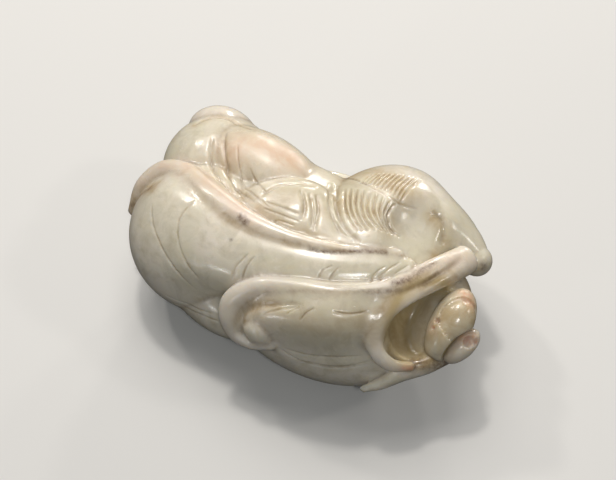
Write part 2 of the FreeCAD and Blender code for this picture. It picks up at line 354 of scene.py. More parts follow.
def seed_and_bud(points):
    husk = egg(points, (28.7, -1.9, 16.8), (3.7, 6.6, 4), lean=SEED_LEAN, **TILT)
    kernel = egg(points, (29.9, -1.9, 19), (3, 3.9, 2.1), lean=SEED_LEAN, **TILT)
    bud = egg(points, (31.8, -3.25, 14.7), (2.1, 3.8, 2.3), lean=BUD_LEAN, **TILT)
    notch = egg(points, (32.3, -4.0, 16.0), (2.35, 4.05, 3.4), lean=BUD_LEAN, **TILT)
    seed = blend(husk, kernel, 0.15)
    groove = np.maximum(np.abs(kernel) - GROOVE_WIDTH / 2, -seed - GROOVE_DEPTH)
    seed = hollow_out(hollow_out(seed, groove, 0.25), notch, 0.3)
    for centre, radius in CHIPS:
        chip = egg(points, centre, (radius, radius, radius))
        seed = hollow_out(seed, chip, 0.15)
        bud = hollow_out(bud, chip, 0.15)
    return seed, bud


print("chips:", len(CHIPS))

# %% [markdown]
# ## Three fields
#
# A field is one distance function for a whole piece. In the stone a rim rolls softly into
# its own leaf and meets the neighbours in a sharper crease, so the rims are blended first.
# The seed and the bud keep fields of their own, because they are pieces of their own.

# %% Fields of the three pieces
ROLLS = [  # leaf, its rim, softness of the roll between them in mm
    ("left_leaf", "left_leaf_rim", 1.2), ("front_leaf", "front_leaf_rim", 1.6),
    ("front_leaf", "cup_rim", 1.3), ("rear_leaf", "rear_leaf_rim", 1.6),
]


def body_field(points):
    """The continuous stone, flat underneath at z = 0."""
    made = stone_forms(points)
    for leaf, rim, softness in ROLLS:
        made[leaf] = blend(made[leaf], made.pop(rim), softness)
    whole = made.pop("heart")
    for distance in made.values():
        whole = blend(whole, distance, CREASE)
    return np.maximum(whole, -points[:, 2])


def seed_field(points):
    return seed_and_bud(points)[0]


def bud_field(points):
    return seed_and_bud(points)[1]


print("the stone is solid", round(float(-body_field(PEBBLE_CENTRE[None])[0]), 1), "mm round its middle")

# %% [markdown]
# ## Settling
#
# Later, the mesh and the engraved lines have to lie exactly on the skin. A shrinkwrap could
# pull them there once a mesh exists, but the field already knows the way: its slope says
# which way is out, and walking a point against it by its distance takes it to the skin. A
# few rounds settle it there.

# %% Settle points on a skin
def slope(field, points, step=0.05):
    """Outward direction of a field's skin near each point."""
    parts = [field(points + axis) - field(points - axis) for axis in np.eye(3) * step]
    return unit(np.stack(parts, -1))


def settle(field, points, rounds=3):
    """Walks points onto the skin of a field."""
    for _ in range(rounds):
        points = points - field(points)[:, None] * slope(field, points)
    return points


print("the top over the middle is at z =", settle(body_field, np.array([[0.0, 0.0, 26.0]])).round(1)[0][2])

# %% [markdown]
# ## The engraved lines
#
# The carver's wheel leaves four sorts of line: fine veins, wider folds, a few broad ditches
# and the comb cuts that rib the hooked leaf. They are cut into the mesh and not only drawn
# in the material, because a polished groove shows by its own small highlights. Each line
# has only the stations its bend needs. They lie on or near the skin, and settling the curve
# puts it exactly there.

# %% Lines
VEINS = [
    [(-25, -11.6, 22.4), (-22.5, -14.7, 21.4), (-18.6, -17.3, 20.2), (-14.6, -18.8, 18.5),
     (-10.8, -18.8, 16.2)],
    [(-17.6, -8.8, 25.4), (-18.2, -12.5, 24.2), (-16.5, -15.5, 22.5), (-13.6, -17.5, 20.7),
     (-10.4, -18.2, 18.9)],
    [(-4.8, -16.6, 21.3), (-4.9, -15, 23.4), (-4, -12.6, 25)],
    [(-3.2, -16.5, 21.7), (-3.3, -14.3, 23.8), (-2.8, -12.5, 25)],
    [(-17.1, -20.4, 11.7), (-12.3, -20.4, 11.7), (-7.1, -20, 13.1)],
    [(-15.8, -20, 9.3), (-10.3, -20.9, 11.3), (-5.2, -20.4, 12.2)],
    [(8.2, -10.5, 24.6), (8.3, -9, 25.5), (9.2, -7.7, 25.9)],
    [(9.9, -10, 24.5), (10, -8.4, 25.4), (10.4, -7.1, 25.9)],
    [(15.6, -7.2, 25.3), (15.8, -4.4, 25.4), (16.5, -2.8, 25.5)],
    [(16.6, -6.4, 25.3), (17, -3.1, 25.2), (17.9, -0.6, 25.1)],
    [(17.7, -5.9, 25.4), (18.4, -2.5, 24.8), (19.3, -0.1, 24.8)],
    [(6.8, -18, 22.4), (7.5, -17, 23.2), (8.3, -16.2, 23.7)],
    [(9.3, -17.7, 22.4), (9.8, -16.4, 23.6), (10.7, -15.2, 24.2)],
    [(13.4, -14.4, 24.3), (15.9, -13.1, 24), (18.1, -10.8, 23.7)],
    [(-7.1, -3, 26), (-3.6, -2.7, 26.6), (0, -2.4, 26.6)],
    [(-6.9, -4.1, 25.7), (-3.2, -3.9, 26.2), (0.1, -3.5, 26.2)],
    [(-4.9, -5.6, 26.6), (-2.7, -4.8, 25.9), (-0.3, -4.4, 25.9)],
    [(-18.5, 5.2, 25.2), (-16.1, 1.9, 24.7), (-13.5, -0.6, 23.9), (-9.8, -2.4, 25.3), (-5.9, -3.6, 25.8)],
    [(-14, 2.2, 25), (-11.6, 0.8, 24.2), (-7.6, -1.7, 26.2)],
    [(-1, 11.8, 21.2), (3.5, 10, 24.6), (8.1, 8.9, 26.3), (12, 9, 26.2), (14.7, 10.6, 24.7)],
    [(7.4, -19.7, 14.9), (11, -19.1, 15.3), (15, -17.6, 16.1), (19.6, -14.8, 16.8)],
    [(10.5, -19.5, 13.6), (14.7, -18.4, 14), (18.4, -16.6, 14.8), (21.1, -14.2, 15.9)],
    [(2.9, -19.2, 20.7), (5.5, -17.7, 22.6), (8.4, -16.2, 23.7)],
    [(5.9, -20.1, 14.7), (9.4, -19.7, 13.6), (13.4, -18.9, 13.6), (17.3, -17.3, 14.3), (20.9, -14.7, 15.3)],
]
FOLDS = [
    [(-3.4, 2.1, 26.7), (-0.9, -0.5, 26.9), (0.3, -3.2, 26.3)],
    [(-1.8, 2.4, 26.7), (0.7, -0.5, 26.7), (2.5, -3.5, 26)],
    [(-0.7, 2.7, 26.5), (1.4, 0, 26.6), (2.8, -3.7, 25.9)],
    [(-1.1, 8.3, 23.5), (2.3, 2.3, 26.2), (5.9, -0.8, 25.8), (9.2, -1.8, 26)],
    [(-0.1, 8.6, 23.3), (3, 3.1, 25.6), (6.9, -0.3, 26), (10.7, -1.6, 26.1)],
    [(-8.6, -2.5, 25.8), (-7.2, 1.1, 26.2), (-4.2, 3.1, 26.3), (-1.5, 4.5, 25.9)],
    [(-24, 5.3, 24.2), (-22.5, 2.5, 23.9), (-20.4, -0.2, 23.5), (-17, -2.2, 24), (-13, -3.8, 25)],
    [(-22.4, 7, 24.3), (-20.3, 3.4, 24.5), (-17.2, 0.2, 23.8), (-13.5, -2, 24.6), (-9, -3.8, 25.6)],
    [(-29, 6.4, 22.5), (-28, 9.2, 22.4), (-25.6, 10.7, 22.6), (-22.6, 10.7, 22.9), (-18.7, 9.9, 24.6)],
]
DITCHES = [
    [(0.4, -21, 17.1), (-0.5, -19.9, 18.4), (0.8, -18.8, 20.6), (4.1, -17.5, 22.5), (8.8, -15.6, 24.1)],
    [(16.6, 11.7, 23.9), (18.4, 11.9, 23.4), (20, 10.6, 22.5), (20.8, 8.1, 21.6)],
    [(20.3, -6.3, 24.2), (21.9, -3.7, 24.3), (23.5, -0.6, 24), (24.9, 3.7, 23.6), (25.3, 7.8, 22.5)],
]
print("lines:", len(VEINS), "veins,", len(FOLDS), "folds,", len(DITCHES), "ditches")

# %% [markdown]
# ## The combs
#
# The hooked leaf is ribbed on both sides of its middle vein. An array along the vein would
# repeat one cut, but the real cuts change their bend over the leaf. So a comb is written as
# its first and last cut, and the cuts between them are spaced evenly. Every line starts and
# ends shallow, as a round wheel leaves it.

# %% Combs, and the wheel for each sort of line
LONG_COMB = [[(2.1, 7.7, 24.2), (4.2, 4, 25.6), (6.8, 1.4, 26.2), (9.3, -0.1, 26.4)],
             [(11.4, 8.6, 26.4), (11.9, 5.9, 26.5), (13.1, 4.6, 25.5), (15.1, 4.3, 24.2)]]
SHORT_COMB = [[(3.9, 9.3, 25.4), (3.8, 10.8, 25.1), (4.2, 12.7, 24.7)],
              [(11.9, 9.2, 25.9), (11.6, 12.2, 26), (11.6, 16.6, 24.3)]]


def comb(first_and_last, cuts):
    first, last = np.array(first_and_last, float)
    return [first + (last - first) * share for share in np.linspace(0, 1, cuts)]


def laid(stations, spacing=0.15, run_out=0.18, roundness=0.7):
    """A line's points, close together on the skin, and how deep it is cut at each (0 to 1)."""
    reach = np.linalg.norm(np.diff(np.array(stations), axis=0), axis=1).sum()
    points = settle(body_field, even_row(stations, max(12, int(reach / spacing))))
    along = np.linspace(0, 1, len(points))
    return points, np.minimum(np.minimum(along, 1 - along) / run_out, 1) ** roundness


WHEELS = {  # lines, half width of the cut in mm, depth in mm
    "veins": (VEINS, 0.20, 0.15),
    "folds": (FOLDS, 0.40, 0.36),
    "ditches": (DITCHES, 0.7, 0.38),
    "long_comb": (comb(LONG_COMB, 9), 0.30, 0.45),
    "short_comb": (comb(SHORT_COMB, 11), 0.25, 0.30),
}
LAID = {name: [laid(line) for line in lines] for name, (lines, width, depth) in WHEELS.items()}
for name, lines in LAID.items():
    print(name, len(lines), "lines,", sum(len(points) for points, share in lines), "points")

# %% [markdown]
# ## From distance to skin
#
# The distance is sampled on a grid, and openvdb lays a mesh of squares over the places where
# it is zero. A grid fine enough for the veins would be huge, so this one is coarse, and the
# mesh is split finer only near the lines. Settling every vertex puts back what the coarse
# grid lost.

# %% A first mesh of a field
GRIDS = {  # field, corners of the box around it in mm, voxel in mm
    "leaf_body": (body_field, (-35, -24, -1.5), (35, 24, 29), 0.48),
    "carved_seed": (seed_field, (22, -12, 8), (35, 8, 25), 0.22),
    "carved_bud": (bud_field, (26, -11, 9), (36, 4, 20), 0.3),
}


def first_mesh(field, low, high, voxel):
    """Vertices and quads of a field's skin inside a box, in mm."""
    counts = np.ceil((np.array(high) - low) / voxel).astype(int)
    axes = [low[i] + voxel * np.arange(counts[i]) for i in range(3)]
    points = np.stack(np.meshgrid(*axes, indexing="ij"), -1).reshape(-1, 3)
    sampled = np.concatenate([field(part) for part in np.array_split(points, 8)])
    grid = openvdb.FloatGrid(5.0)       # 5 mm outside wherever nothing is written
    grid.copyFromArray(sampled.reshape(counts).astype(np.float32))
    places, quads = grid.convertToQuads()
    return places * voxel + np.array(low), quads


print("the bud starts as", len(first_mesh(*GRIDS["carved_bud"])[1]), "quads")

# %% [markdown]
# ## Finer near the lines
#
# A vein is narrower than one square of the first mesh. Subdividing everything would make
# millions of faces, so only the edges near a line are halved, once for each reach, and the
# vertices are settled again.

# %% Split the mesh near lines
def far_from(lines, points, limit):
    """Distance to the nearest of the lines, cut off at a limit."""
    distance = np.full(len(points), float(limit))
    for line in lines:
        close = ((points > line.min(0) - limit) & (points < line.max(0) + limit)).all(1)
        index = np.where(close)[0]
        if len(index):
            gaps = np.linalg.norm(points[index, None] - line[None], axis=2).min(1)
            distance[index] = np.minimum(distance[index], gaps)
    return distance


def places_of(work):
    return np.array([vertex.co for vertex in work.verts])


def refine(work, field, lines, reach):
    """Halves the edges within reach of a line and settles every vertex again."""
    work.verts.ensure_lookup_table()
    near = far_from(lines, places_of(work), reach) < reach
    for vertex, is_near in zip(work.verts, near):
        vertex.tag = bool(is_near)
    edges = [edge for edge in work.edges if edge.verts[0].tag and edge.verts[1].tag]
    bmesh.ops.subdivide_edges(work, edges=edges, cuts=1, use_grid_fill=True)
    bmesh.ops.triangulate(work, faces=work.faces)
    for vertex, place in zip(work.verts, settle(field, places_of(work), 2)):
        vertex.co = place


every_line = [points for lines in LAID.values() for points, share in lines]
print("lines to split near:", len(every_line))


# %% One closed object for a field
def skinned(name, reaches=()):
    """One closed object of a field's skin, split near the lines once for each reach."""
    field = GRIDS[name][0]
    places, quads = first_mesh(*GRIDS[name])
    mesh = bpy.data.meshes.new(name)
    mesh.from_pydata(settle(field, places).tolist(), [], quads.tolist())
    work = bmesh.new()
    work.from_mesh(mesh)
    bmesh.ops.recalc_face_normals(work, faces=work.faces)
    bmesh.ops.triangulate(work, faces=work.faces)
    for reach in reaches:
        refine(work, field, every_line, reach)
    bmesh.ops.translate(work, vec=CENTRING, verts=work.verts)
    bmesh.ops.scale(work, vec=(MM, MM, MM), verts=work.verts)
    volume = work.calc_volume(signed=True) * 1e6
    open_edges = sum(not edge.is_manifold for edge in work.edges)
    work.to_mesh(mesh)
    work.free()
    piece = bpy.data.objects.new(name, mesh)
    bpy.context.scene.collection.objects.link(piece)
    print(name, len(mesh.polygons), "faces", round(volume, 2), "cm3", open_edges, "open edges")
    return piece


# %% The three pieces
body = skinned("leaf_body", reaches=(1.3, 0.5))
seed = skinned("carved_seed")
bud = skinned("carved_bud")

# %% [markdown]
# ## Cutting the lines
#
# A Geometry Nodes tree does the wheel's work, because a rule says it all: it finds how far
# every point of the skin is from the lines of one wheel and pushes it in along the normal,
# deepest on the line and fading over the half width. It also keeps how strongly each point
# was cut, so that the material can paint shade into the cuts.


# %% One function that adds a node
def add(tree, kind, links=(), **settings):
    """Adds a node, sets its properties and inputs, and links sockets into it."""
    node = tree.nodes.new(kind)
    for name, value in settings.items():
        setattr(node, name, value)
    for socket, source in dict(links).items():
        target = node.inputs[socket]
        if isinstance(source, bpy.types.NodeSocket):
            tree.links.new(source, target)
        else:
            target.default_value = source
    return node


print("add: a tree, a kind of node, its inputs, its settings")


# %% The wheel as a node tree
def wheel_tree():
    tree = bpy.data.node_groups.new("wheel", "GeometryNodeTree")
    for name, kind in (("Geometry", "Geometry"), ("Lines", "Object"), ("Half width", "Float"),
                       ("Depth", "Float"), ("Material", "Material")):
        tree.interface.new_socket(name, in_out="INPUT", socket_type="NodeSocket" + kind)
    tree.interface.new_socket("Geometry", in_out="OUTPUT", socket_type="NodeSocketGeometry")
    given = add(tree, "NodeGroupInput").outputs

    lines = add(tree, "GeometryNodeObjectInfo", {"Object": given["Lines"]}).outputs["Geometry"]
    gap = add(tree, "GeometryNodeProximity", {"Geometry": lines}, target_element="EDGES").outputs["Distance"]
    closest = add(tree, "GeometryNodeSampleNearest", {0: lines}, domain="POINT").outputs["Index"]
    share = add(tree, "GeometryNodeInputNamedAttribute", {"Name": "share"}, data_type="FLOAT").outputs[0]
    share = add(tree, "GeometryNodeSampleIndex", {0: lines, 1: share, "Index": closest},
                data_type="FLOAT", domain="POINT").outputs[0]

    # how strongly each point is cut: a bell over the half width, times the line's own share
    ratio = add(tree, "ShaderNodeMath", {0: gap, 1: given["Half width"]}, operation="DIVIDE").outputs[0]
    square = add(tree, "ShaderNodeMath", {0: ratio, 1: 2.0}, operation="POWER").outputs[0]
    negative = add(tree, "ShaderNodeMath", {0: square, 1: -1.0}, operation="MULTIPLY").outputs[0]
    bell = add(tree, "ShaderNodeMath", {0: negative}, operation="EXPONENT").outputs[0]
    bell = add(tree, "ShaderNodeMath", {0: bell, 1: share}, operation="MULTIPLY").outputs[0]
    # how strongly each point was cut, kept for the painted shade in the cuts
    before = add(tree, "GeometryNodeInputNamedAttribute", {"Name": "cut"}, data_type="FLOAT").outputs[0]
    total = add(tree, "ShaderNodeMath", {0: before, 1: bell}, operation="MAXIMUM").outputs[0]
    stored = add(tree, "GeometryNodeStoreNamedAttribute",
                 {"Geometry": given["Geometry"], "Name": "cut", "Value": total},
                 data_type="FLOAT", domain="POINT").outputs[0]

    # and pushed in along the normal
    push = add(tree, "ShaderNodeMath", {0: bell, 1: given["Depth"]}, operation="MULTIPLY").outputs[0]
    push = add(tree, "ShaderNodeMath", {0: push, 1: -1.0}, operation="MULTIPLY").outputs[0]
    normal = add(tree, "GeometryNodeInputNormal").outputs["Normal"]
    offset = add(tree, "ShaderNodeVectorMath", {0: normal, "Scale": push}, operation="SCALE").outputs[0]
    moved = add(tree, "GeometryNodeSetPosition", {"Geometry": stored, "Offset": offset}).outputs[0]
    solid = add(tree, "GeometryNodeRealizeInstances", {"Geometry": moved}).outputs[0]
    dressed = add(tree, "GeometryNodeSetMaterial",
                  {"Geometry": solid, "Material": given["Material"]}).outputs[0]
    add(tree, "NodeGroupOutput", {"Geometry": dressed})
    return tree


wheel = wheel_tree()
print("the wheel has", len(wheel.nodes), "nodes")

# %% [markdown]
# ## The lines, for the tree
#
# The tree measures to a mesh of bare edges, one for each wheel. Curve objects would do as
# well, but the settled points are already as close together as the cut needs, and a mesh
# carries the share of the depth on each point.

# %% The lines as edges
def line_object(name, lines):
    """All lines of one wheel as a mesh of edges, with the share of the depth on each point."""
    places = (np.concatenate([points for points, share in lines]) + CENTRING) * MM
    shares = np.concatenate([share for points, share in lines])
    edges = []
    start = 0
    for points, share in lines:
        edges += [(start + i, start + i + 1) for i in range(len(points) - 1)]
        start += len(points)
    mesh = bpy.data.meshes.new(name)
    mesh.from_pydata(places.tolist(), edges, [])
    mesh.attributes.new("share", "FLOAT", "POINT").data.foreach_set("value", shares)
    made = bpy.data.objects.new(name, mesh)
    bpy.context.scene.collection.objects.link(made)
    return made


helpers = {name: line_object("lines_" + name, lines) for name, lines in LAID.items()}
print("helpers:", ", ".join(helper.name for helper in helpers.values()))

# %% Every wheel cuts in turn
jade = bpy.data.materials.new("polished_nephrite")
inputs = {item.name: item.identifier for item in wheel.interface.items_tree if item.in_out == "INPUT"}
for name, (lines, width, depth) in WHEELS.items():
    modifier = body.modifiers.new(name, "NODES")
    modifier.node_group = wheel
    modifier[inputs["Lines"]] = helpers[name]
    modifier[inputs["Half width"]] = width * MM
    modifier[inputs["Depth"]] = depth * MM
    modifier[inputs["Material"]] = jade
seen = body.evaluated_get(bpy.context.evaluated_depsgraph_get())
cut_mesh = bpy.data.meshes.new_from_object(seen)
body.modifiers.clear()
body.data = cut_mesh
for helper in helpers.values():
    bpy.data.objects.remove(helper)
cuts = np.zeros(len(cut_mesh.vertices))
cut_mesh.attributes["cut"].data.foreach_get("value", cuts)
print("points cut:", int((cuts > 0.2).sum()), "of", len(cuts))

# %% [markdown]
# ## Age, wear and painted shade
#
# On the real carving brown stains follow the rims and folds, a blush and a tan tinge lie here
# and there, and broken tips show raw stone. Shade is painted on as well: a darker brown in the
# creases between forms, in the cuts and in the cup's hollow, and some of the tan paths are
# painted shade. An image could hold all this, but so round a stone has no flat skin to paint
# on. So each is a soft path over the skin, and its strength is stored on the points for the
# material to read.

# %% Where the stone is stained and tinged, and where tan paths paint shade
STAINS = [  # stations, half width in mm, strength
    ([(4.5, -7.2, 26.2), (6.9, -6.4, 26.2), (9.6, -4.6, 26.3), (12.2, -2.6, 26.2),
      (14.9, -0.7, 25.7)], 0.45, 1.0),
    ([(19.2, -4.8, 25), (20.8, -2.4, 25.2), (21.9, 1.2, 25), (22.3, 3.2, 24.7)], 0.7, 1.0),
    ([(23.2, -1.6, 24.2), (24.1, 1.5, 24.2)], 0.5, 0.9),
    ([(11, -11.2, 25), (16.1, -8.8, 25.1), (18.7, -6.9, 25.1), (20.4, -5.2, 24.7)], 0.6, 0.6),
    ([(-32.6, -9.4, 12), (-32, -9.1, 14), (-30, -8.7, 17.9), (-28.1, -8.2, 20.7)], 0.7, 0.6),
    ([(-8.6, -8.2, 26.5), (-7.4, -8.6, 26.5)], 0.7, 1.0),
    ([(-8, -12.2, 25.2), (-7.9, -12.1, 25.2)], 0.3, 0.8),
    ([(27.6, 11, 17.5), (27.7, 11, 17.4)], 0.9, 0.8),
    ([(27, -10.5, 14.8), (30, -7.5, 13.2), (32, -4.5, 11.5)], 1.3, 0.85),
    ([(-1, 11.8, 21.2), (3.5, 10, 24.6), (5, 9.5, 25.4)], 0.5, 0.6),
]
BLUSH = [
    ([(-31, -4.5, 17.5), (-27, -3, 22), (-20, -3.8, 25), (-14, -5.4, 26), (-7, -6.8, 26.5)], 2.2, 0.5),
    ([(-19, 4, 25), (-13, 7, 25.5), (-9, 7.5, 25)], 3.6, 0.75),
    ([(21, -3, 25), (25, 8, 22)], 2.0, 0.25),
]
# tan tinges of the stone; some of these paths are painted shade
TAN_AND_SHADE = [
    ([(2, 12, 22.5), (7, 12.5, 24.5), (11, 12, 25.5)], 3.2, 0.7),
    ([(3, 5, 25), (8, 4, 26.4), (12, 4, 26.3)], 3.4, 0.45),
    ([(17, 11, 24), (20.8, 9.8, 22.2), (21.5, 6, 22)], 1.4, 0.7),
    ([(-8, -4.5, 26), (0, -5, 26.5), (8, -4, 26.2)], 1.5, 0.5),
    ([(-29, 6.4, 22.5), (-25.6, 10.7, 22.6), (-18.7, 9.9, 24.6)], 1.0, 0.5),
    ([(-21, 5, 24.6), (-17, -1, 24), (-10, -4, 26)], 1.5, 0.4),
    ([(4, -18, 21.5), (10, -17, 22), (18, -12, 22)], 3.0, 0.4),
    ([(-0.5, -19.9, 17.5), (0.5, -18.8, 20.5), (4.5, -17, 22.5)], 1.5, 0.7),
    ([(-33, -9, 12), (-31, -8, 17), (-27, -8, 21.5)], 1.8, 0.9),
    # painted shade in the dark gap between the hook and the seed
    ([(26.5, 7.5, 18), (27.5, 4.5, 17)], 2.4, 1.0),
    ([(27.5, -5, 15.5), (30, -5, 15)], 2.6, 0.6),
    ([(27.6, -3.5, 17.5), (29.5, -2, 19.5), (30, 0.5, 20)], 4.0, 0.85),
    ([(-19, -7.5, 25), (-9, -9.8, 26), (2, -8, 26)], 0.9, 0.5),
    ([(25.2, 3.4, 22.6), (22.4, -3, 23.9), (20.4, -7.2, 24), (19.5, -10.6, 22.6),
      (20.2, -13.4, 20)], 1.5, 0.5),
    ([(-6, -1.5, 26.6), (-2, 0.5, 27), (2, -1, 26.8)], 2.6, 0.4),
]
BREAKS = [
    ([(29, 2, 21.4), (30.4, 1.4, 21)], 1.3, 0.9),
    ([(27, -4.8, 18.4), (27.3, -3.6, 19)], 0.9, 0.6),
    ([(32.4, -2.9, 16.7), (33.3, -2.2, 16.4)], 1.2, 1.0),
    ([(26.6, -12.9, 15.8), (27.4, -12, 15.6)], 0.8, 0.9),
]
print("paths:", len(STAINS), "stains,", len(BLUSH), "blushes,", len(TAN_AND_SHADE), "tan,", len(BREAKS), "breaks")


# %% Store the strengths on the points
# the creases and the hollow fade out as painted shade, the rims as a paler tint
CREASE_SHADE_FADE, RIM_EDGE, HOLLOW_SHADE_EDGE = 0.35, 0.5, 1.2     # how far each one fades out, mm
RIMS = ("left_leaf_rim", "front_leaf_rim", "cup_rim", "back_leaf_tip", "small_bud")


def path_strength(points, paths, steps=24, widths=3):
    """How strongly a list of paths paints each point, 0 to 1."""
    amount = np.zeros(len(points))
    for stations, width, strength in paths:
        gap = far_from([smooth_row(stations, steps)], points, width * widths)
        amount = np.maximum(amount, strength * np.exp(-(gap / width) ** 2))
    return amount


def pebble_places(mesh):
    """The vertices of a mesh, in mm on the pebble."""
    places = np.zeros(len(mesh.vertices) * 3)
    mesh.vertices.foreach_get("co", places)
    return places.reshape(-1, 3) / MM - CENTRING


def strengths(points, piece):
    """All the strengths that the material reads, by name."""
    made = stone_forms(points)
    made["seed"], made["small_bud"] = seed_and_bud(points)
    nearest = np.sort(np.stack(list(made.values())), axis=0)[:2]
    rim = np.min([made[name] for name in RIMS], axis=0)
    # painted shade in the cup's hollow, strongest on its skin
    hollow_shade = np.exp(-(egg(points, **CUP_HOLLOW) / HOLLOW_SHADE_EDGE) ** 2)
    return {
        # painted shade: darker where two forms meet in a crease
        "crease": np.exp(-np.maximum(nearest[1] - nearest[0], 0) / CREASE_SHADE_FADE),
        "rim": np.exp(-np.maximum(rim, 0) / RIM_EDGE),
        "stain": path_strength(points, STAINS),
        "blush": path_strength(points, BLUSH),
        # tan tinge, partly painted shade
        "tan": path_strength(points, TAN_AND_SHADE),
        "broken": path_strength(points, BREAKS),
        # painted shade in the cup's hollow, on the stone only
        "deep": hollow_shade * (piece is body),
    }


for piece in (body, seed, bud):
    stored = strengths(pebble_places(piece.data), piece)
    if piece is not body:
        stored["cut"] = np.zeros(len(piece.data.vertices))
        piece.data.materials.append(jade)
    for name, values in stored.items():
        attribute = piece.data.attributes.new(name, "FLOAT", "POINT")
        attribute.data.foreach_set("value", np.asarray(values, np.float32))
    piece.data.shade_smooth()
    print(piece.name, {name: round(float(values.mean()), 3) for name, values in stored.items()})

# %% [markdown]
# ## The jade
#
# Nephrite is a felt of fibres far too fine to see. Light goes in, scatters for a millimetre
# or two and comes out soft and slightly warmer, so the material is a full subsurface one.
# The stone was ground with wet abrasive and polished by hand, which leaves a clear gloss
# that is a little wavy, so the roughness stays low and changes slowly. The index of
# refraction of nephrite is about 1.61. Broken faces and the worn, blushing places are dull.
#
# The colour is built in layers, from the pale stone to the brown stains. Each layer is
# painted over the last where its strength is high and its cloudy pattern lets it through.
# The layers of the hollow, the creases and the cuts are painted shade, and the tan layer is
# partly painted shade. The fibre bundles are finer than can show, so the finest pattern is
# drawn 0.7 mm wide.

# %% Colours from hex
def colour(text):
    """sRGB hex to the linear colour Blender mixes in."""
    parts = [int(text[i:i + 2], 16) / 255 for i in (1, 3, 5)]
    return [c / 12.92 if c <= 0.04045 else ((c + 0.055) / 1.055) ** 2.4 for c in parts] + [1.0]


print("pale stone, linear:", [round(part, 3) for part in colour("#DBD5BF")])

# %% Patterns in the stone
jade.use_nodes = True
tree = jade.node_tree
tree.nodes.clear()
where = add(tree, "ShaderNodeTexCoord").outputs["Object"]
PATTERNS = {  # width in mm, detail, roughness, distortion
    "broad": (14, 3.0, 0.5, 0.0),
    "cloudy": (3.5, 5.0, 0.62, 0.5),
    "flecks": (1.5, 5.0, 0.7, 0.0),
    "fine": (0.7, 4.0, 0.6, 0.0),
}
pattern = {}
for name, (width, detail, roughness, distortion) in PATTERNS.items():
    pattern[name] = add(tree, "ShaderNodeTexNoise", {
        "Vector": where, "Scale": 1 / (width * MM), "Detail": detail, "Roughness": roughness,
        "Distortion": distortion}).outputs[0]
# the strengths of the creases, the cuts and the hollow are painted shade; the tan is partly painted shade
strength = {name: add(tree, "ShaderNodeAttribute", attribute_name=name).outputs["Fac"]
            for name in ("rim", "blush", "tan", "deep", "crease", "cut", "broken", "stain")}
print("patterns:", len(pattern), "strengths:", len(strength))

# %% Layers of colour
PALE_STONE = "#DBD5BF"
LAYERS = [  # strength, pattern, the pattern's low and high, share there, colour
    (None, "broad", 0.38, 0.62, 0.0, 1.0, "#EEE7D8"),
    (None, "cloudy", 0.45, 0.7, 0.0, 0.7, "#C8C1AA"),
    (None, "flecks", 0.58, 0.7, 0.0, 0.45, "#F1EBDD"),
    ("rim", "cloudy", 0.3, 0.65, 0.25, 0.65, "#E9E1D8"),
    ("blush", "cloudy", 0.3, 0.6, 0.4, 1.0, "#E1C0A2"),
    # tan tinge, partly painted shade
    ("tan", "cloudy", 0.3, 0.65, 0.35, 1.0, "#B69B6C"),
    # painted shade in the cup's hollow
    ("deep", "cloudy", 0.0, 1.0, 0.7, 0.7, "#BBA671"),
    # painted shade in the creases where forms meet
    ("crease", "cloudy", 0.3, 0.65, 0.1, 0.55, "#94794C"),
    # painted shade in the engraved cuts
    ("cut", "cloudy", 0.35, 0.65, 0.0, 0.4, "#9A7F52"),
    ("broken", "fine", 0.35, 0.6, 0.3, 0.9, "#D8A88A"),
    ("stain", "fine", 0.3, 0.7, 0.25, 1.0, "#624226"),
]
shade = colour(PALE_STONE)
for name, over, low, high, share_low, share_high, tint in LAYERS:
    share = add(tree, "ShaderNodeMapRange",
                {0: pattern[over], 1: low, 2: high, 3: share_low, 4: share_high}).outputs[0]
    if name:
        share = add(tree, "ShaderNodeMath", {0: strength[name], 1: share}, operation="MULTIPLY").outputs[0]
    if name == "stain":         # a stain has a firmer edge than a tinge
        share = add(tree, "ShaderNodeMapRange", {0: share, 1: 0.05, 2: 0.75, 3: 0.0, 4: 0.85}).outputs[0]
    shade = add(tree, "ShaderNodeMix", {0: share, 6: shade, 7: colour(tint)}, data_type="RGBA").outputs[2]
print("layers:", len(LAYERS))

# %% The polished skin
POLISH = (0.15, 0.27)       # roughness from the clearest to the dullest polish
DULLED = 0.3                # roughness that breaks and worn places add
RIPPLE = 0.08 * MM          # height of the waves the polish leaves
bump = add(tree, "ShaderNodeBump", {"Height": pattern["fine"], "Strength": 0.3, "Distance": RIPPLE})
gloss = add(tree, "ShaderNodeMapRange",
            {0: pattern["cloudy"], 1: 0.3, 2: 0.7, 3: POLISH[0], 4: POLISH[1]}).outputs[0]
worn = add(tree, "ShaderNodeMath", {0: strength["broken"], 1: strength["blush"]},
           operation="MAXIMUM").outputs[0]
worn = add(tree, "ShaderNodeMath", {0: worn, 1: DULLED}, operation="MULTIPLY").outputs[0]
gloss = add(tree, "ShaderNodeMath", {0: gloss, 1: worn}, operation="ADD").outputs[0]
skin = add(tree, "ShaderNodeBsdfPrincipled", {
    "Base Color": shade, "Roughness": gloss, "IOR": 1.61, "Normal": bump.outputs[0],
    "Subsurface Weight": 1.0, "Subsurface Radius": (1.0, 0.88, 0.66), "Subsurface Scale": 2.0 * MM,
}).outputs[0]
add(tree, "ShaderNodeOutputMaterial", {"Surface": skin})
print("the jade has", len(tree.nodes), "nodes")

# %% [markdown]
# ## Taking the place of the solids
#
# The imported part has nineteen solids, one for each form. The three carved pieces stand in
# for all of them: the seed and the bud for their own, and the continuous stone for the rest.

# %% What each piece rides on and replaces
LOOSE = ("seed", "small_bud")
for piece, nodes in ((seed, ["seed"]), (bud, ["small_bud"]),
                     (body, [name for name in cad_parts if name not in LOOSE])):
    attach(piece, "root")
    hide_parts(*nodes)
    print(piece.name, "replaces", len(nodes))

